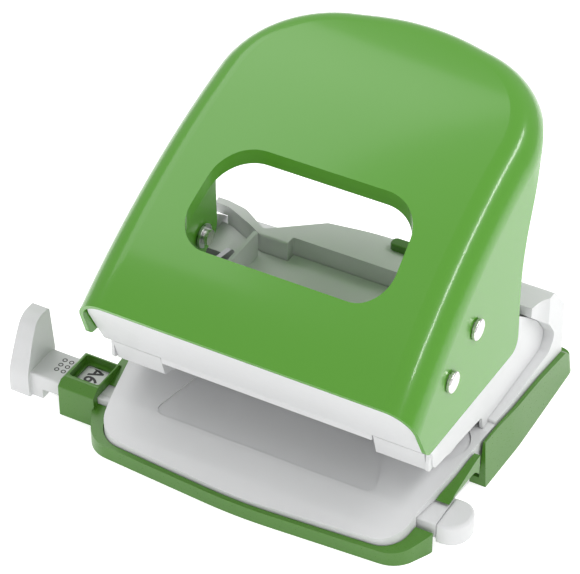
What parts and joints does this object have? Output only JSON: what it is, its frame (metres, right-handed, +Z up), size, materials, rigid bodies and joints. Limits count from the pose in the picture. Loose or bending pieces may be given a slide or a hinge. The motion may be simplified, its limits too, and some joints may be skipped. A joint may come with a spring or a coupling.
{
  "type": "two-hole punch",
  "caption": "Desk two-hole paper punch with a sprung green sheet-metal handle, grey housing, sliding paper-stop rail and hinged chip tray.",
  "frame": {"origin": "on the desk, midway between the two punches, on the line through their centres", "axes": "+X to the right of someone facing the paper opening, +Y from the paper opening to the back, +Z up"},
  "size_m": [0.1412, 0.1128, 0.0954],
  "materials": {
    "handle_paint": "glossy green enamel on steel sheet",
    "green_plastic": "satin green moulding",
    "grey_plastic": "fine textured light grey moulding",
    "bright_steel": "nickel plated steel",
    "sheet_steel": "zinc plated steel sheet",
    "punch_steel": "hardened ground steel",
    "spring_steel": "spring steel",
    "grey_strip": "printed grey strip"
  },
  "bodies": {
    "base": {"base_housing": "grey_plastic", "upper_housing": "grey_plastic", "die_plate": "sheet_steel", "die_left": "punch_steel", "die_right": "punch_steel", "bracket_left": "sheet_steel", "bracket_right": "sheet_steel", "bracket_rivets": "bright_steel", "guide_block_left": "grey_plastic", "guide_block_right": "grey_plastic", "front_frame": "green_plastic", "detent_spring": "spring_steel", "hinge_pins": "bright_steel", "cover_screws": "bright_steel", "spring_left": "spring_steel", "spring_right": "spring_steel"},
    "lever": {"handle": "handle_paint", "pivot_pin_left": "bright_steel", "pivot_pin_right": "bright_steel", "drive_pin_left": "bright_steel", "drive_pin_right": "bright_steel", "pin_clips": "spring_steel"},
    "left_punch": {"punch_left": "punch_steel", "spring_collar_left": "sheet_steel"},
    "right_punch": {"punch_right": "punch_steel", "spring_collar_right": "sheet_steel"},
    "rail": {"guide_rail": "grey_plastic", "format_strip": "grey_strip", "rail_knob": "grey_plastic"},
    "tray": {"chip_tray": "green_plastic"},
    "lock": {"lock_slider": "green_plastic"}
  },
  "joints": [
    {"name": "handle_press", "type": "hinge", "parent": "base", "child": "lever", "pos_m": [0, -0.0153, 0.05], "axis": [-1, 0, 0], "range_deg": [0, 30], "stiffness_Nm_per_rad": 0.9, "springref_deg": -20.05},
    {"name": "punch_left_stroke", "type": "slide", "parent": "base", "child": "left_punch", "axis": [0, 0, -1], "range_m": [0, 0.0087], "deforming": ["spring_left"]},
    {"name": "punch_right_stroke", "type": "slide", "parent": "base", "child": "right_punch", "axis": [0, 0, -1], "range_m": [0, 0.0087], "deforming": ["spring_right"]},
    {"name": "rail_slide", "type": "slide", "parent": "base", "child": "rail", "axis": [1, 0, 0], "range_m": [-0.0745, 0.0055]},
    {"name": "tray_hinge", "type": "hinge", "parent": "base", "child": "tray", "pos_m": [0, 0.0036, 0.003], "axis": [-1, 0, 0], "range_deg": [0, 40]},
    {"name": "lock_slide", "type": "slide", "parent": "base", "child": "lock", "axis": [1, 0, 0], "range_m": [0, 0.008]}
  ],
  "couplings": [
    {"joint": "punch_left_stroke", "follows": "handle_press", "m_per_rad": 0.016197},
    {"joint": "punch_right_stroke", "follows": "handle_press", "m_per_rad": 0.016197}
  ]
}
